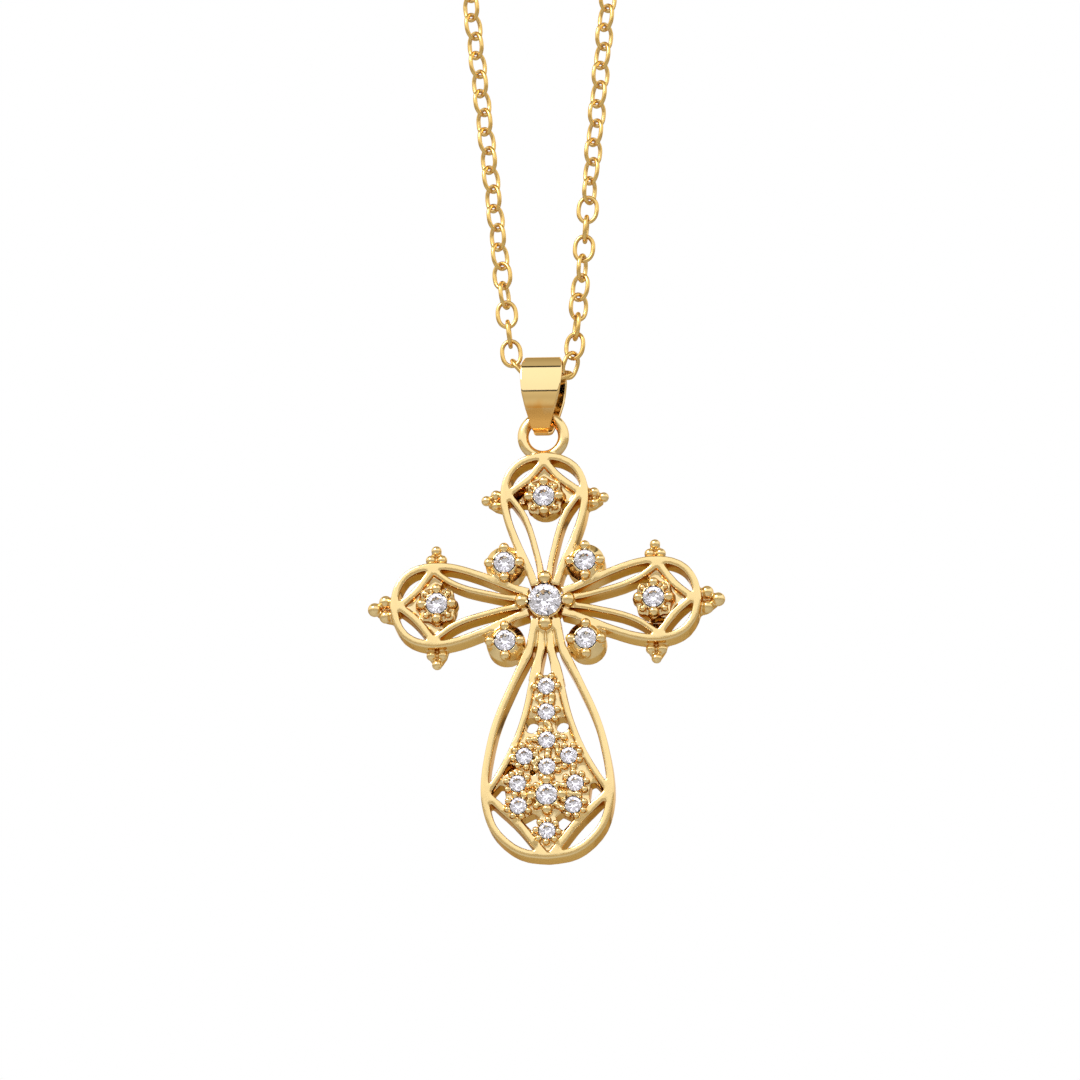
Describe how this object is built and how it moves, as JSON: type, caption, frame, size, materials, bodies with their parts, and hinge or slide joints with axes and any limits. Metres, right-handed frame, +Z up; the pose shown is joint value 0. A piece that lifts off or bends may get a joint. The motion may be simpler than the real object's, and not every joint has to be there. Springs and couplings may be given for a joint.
{
  "type": "cross necklace",
  "caption": "Openwork latin cross pendant with clear round stones, hanging from a folded bail on a closed fine cable chain.",
  "frame": {"origin": "on the underside of the clasp, at the top of the closed loop, where the necklace hangs", "axes": "+Z up, -Y out of the front of the cross, +X to the right seen from the front"},
  "size_m": [0.0412, 0.0043, 0.2353],
  "materials": {
    "cast_metal": "satin, gold coloured",
    "polished_metal": "polished, gold coloured",
    "chain_metal": "polished, gold coloured",
    "stone": "cut and polished, clear"
  },
  "bodies": {
    "chain": {"chain_left": "chain_metal", "chain_right": "chain_metal", "clasp": "polished_metal"},
    "bail": {"bail": "polished_metal"},
    "cross": {"cross_frame": "cast_metal", "centre_stone": "stone", "corner_stone_1": "stone", "corner_stone_2": "stone", "corner_stone_3": "stone", "corner_stone_4": "stone", "arm_stone_left": "stone", "arm_stone_top": "stone", "arm_stone_right": "stone", "drop_stone_01": "stone", "drop_stone_02": "stone", "drop_stone_03": "stone", "drop_stone_04": "stone", "drop_stone_05": "stone", "drop_stone_06": "stone", "drop_stone_07": "stone", "drop_stone_08": "stone", "drop_stone_09": "stone", "drop_stone_10": "stone", "drop_stone_11": "stone", "drop_stone_12": "stone"}
  },
  "joints": [
    {"name": "bail_swing", "type": "hinge", "parent": "chain", "child": "bail", "pos_m": [0, 0, -0.18745], "axis": [0.9981, -0.061, 0], "range_deg": [-55, 55]},
    {"name": "cross_swing", "type": "hinge", "parent": "bail", "child": "cross", "pos_m": [0, 0, -0.19145], "axis": [1, 0, 0], "range_deg": [-40, 40]}
  ]
}
